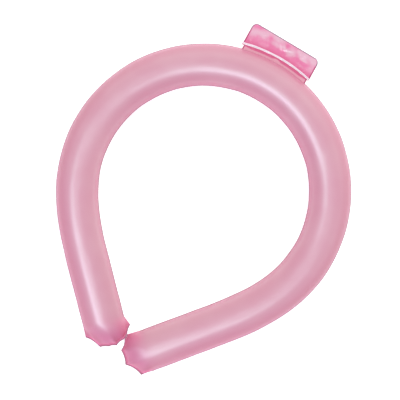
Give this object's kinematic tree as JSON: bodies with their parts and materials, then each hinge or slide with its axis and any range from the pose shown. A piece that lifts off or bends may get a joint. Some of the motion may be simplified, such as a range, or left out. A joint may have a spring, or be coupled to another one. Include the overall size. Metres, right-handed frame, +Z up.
{
  "type": "neck cooling tube",
  "caption": "Soft ring of film filled with a cooling gel, worn round the neck, with gathered ends that meet at the front and a flat filling tab at the back.",
  "frame": {"origin": "middle of the footprint, on the surface that the ring rests on", "axes": "+Z up, out of the surface; +Y towards the back of the ring, where the filling tab is; X across the ring"},
  "size_m": [0.1604, 0.1984, 0.0229],
  "materials": {
    "film": "satin, pearly translucent pink film",
    "gel": "pale pink gel, waxy when set",
    "tab_film": "glossy deep pink film in two layers"
  },
  "bodies": {
    "root": {"film_tube": "film", "cooling_gel": "gel", "fill_tab": "tab_film"}
  },
  "joints": []
}
